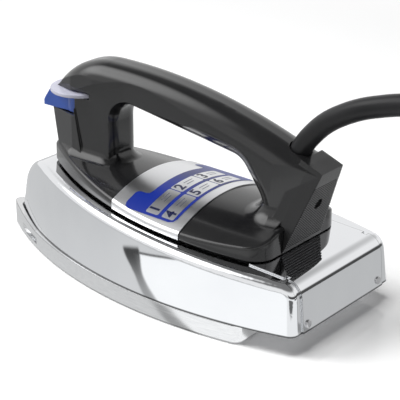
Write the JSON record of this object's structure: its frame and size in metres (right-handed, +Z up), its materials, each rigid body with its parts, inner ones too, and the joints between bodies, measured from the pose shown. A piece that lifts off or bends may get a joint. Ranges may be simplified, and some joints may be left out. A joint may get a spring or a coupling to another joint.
{
  "type": "clothes iron",
  "caption": "Dry clothes iron with a polished soleplate, chromed shell, black moulded handle, temperature dial with a lever and a corded plug.",
  "frame": {"origin": "under the middle of the iron, on the surface it stands on", "axes": "+Z up, +X towards the heel, the nose points to -X"},
  "size_m": [0.5526, 0.123, 0.1454],
  "materials": {
    "polished_aluminium": "polished",
    "grey_steel": "brushed",
    "chrome_sheet": "mirror",
    "bright_steel": "bright",
    "black_rubber": "matte",
    "black_plastic": "gloss",
    "printed_sheet": "satin with a blue field",
    "white_insulator": "matte",
    "brass": "bright",
    "core_plastic": "matte",
    "cord_rubber": "satin",
    "clear_plastic": "clear",
    "blue_plastic": "gloss"
  },
  "bodies": {
    "iron": {"soleplate": "polished_aluminium", "heating_element": "grey_steel", "shell": "chrome_sheet", "heel_plate": "chrome_sheet", "heel_rivets": "bright_steel", "bottom_cover": "grey_steel", "bottom_cover_screws": "bright_steel", "handle_gasket": "black_rubber", "handle": "black_plastic", "label_plate": "printed_sheet", "rear_cover": "black_plastic", "rear_cover_screw": "bright_steel", "handle_bolts": "bright_steel", "spacer_tubes": "bright_steel", "terminal_block": "white_insulator", "terminal_screws": "brass", "cord_cores": "core_plastic", "leads": "core_plastic", "cord_guard": "black_rubber", "cord": "cord_rubber", "cord_coil": "cord_rubber", "plug_body": "cord_rubber", "plug_pins": "brass", "thermostat_bracket": "grey_steel", "bracket_screws": "bright_steel", "arm_pin": "bright_steel", "ceramic_block": "white_insulator", "fixed_contact": "brass", "bimetal_blade": "grey_steel"},
    "temperature_control": {"temperature_dial": "clear_plastic", "dial_lever": "blue_plastic", "control_shaft": "bright_steel"},
    "thermostat_arm": {"contact_arm": "brass"}
  },
  "joints": [
    {"name": "dial_turn", "type": "hinge", "parent": "iron", "child": "temperature_control", "pos_m": [-0.067, 0, 0.1004], "axis": [0, 0, 1], "range_deg": [-65, 65]},
    {"name": "arm_swing", "type": "hinge", "parent": "iron", "child": "thermostat_arm", "pos_m": [-0.032, 0, 0.0195], "axis": [0, 1, 0], "range_deg": [-2.5, 2.5]}
  ],
  "couplings": [
    {"joint": "arm_swing", "follows": "dial_turn", "ratio": 0.03}
  ]
}
